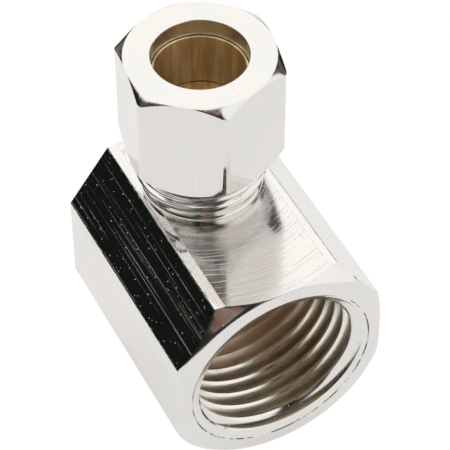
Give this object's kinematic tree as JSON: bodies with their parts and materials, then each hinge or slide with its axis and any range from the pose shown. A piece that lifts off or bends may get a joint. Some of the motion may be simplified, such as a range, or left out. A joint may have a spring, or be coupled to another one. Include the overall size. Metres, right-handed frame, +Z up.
{
  "type": "compression fitting",
  "caption": "Chrome-plated brass angle adapter with a female pipe port on its side and a compression branch with hex nut and ferrule for a small supply tube on top.",
  "frame": {"origin": "on the flat underside, straight below the axis of the compression branch", "axes": "+Z up the compression branch's axis, -Y out of the pipe port's mouth, +X to the right seen from the port"},
  "size_m": [0.024, 0.0279, 0.0431],
  "materials": {
    "chrome_body": "bright chrome plate over turned brass, with fine turning lines and light scratches",
    "chrome_nut": "bright chrome plate on smooth hexagon flats",
    "brass": "turned brass, slightly tarnished"
  },
  "bodies": {
    "body": {"angle_body": "chrome_body"},
    "sleeve": {"ferrule": "brass"},
    "nut": {"compression_nut": "chrome_nut"}
  },
  "joints": [
    {"name": "ferrule_lift", "type": "slide", "parent": "body", "child": "sleeve", "axis": [0, 0, 1], "range_m": [0, 0.0069]},
    {"name": "nut_turn", "type": "hinge", "parent": "sleeve", "child": "nut", "pos_m": [0, 0, 0.036], "axis": [0, 0, 1], "range_deg": [0, 2340]}
  ],
  "couplings": [
    {"joint": "ferrule_lift", "follows": "nut_turn", "m_per_rad": 0.00016844}
  ]
}
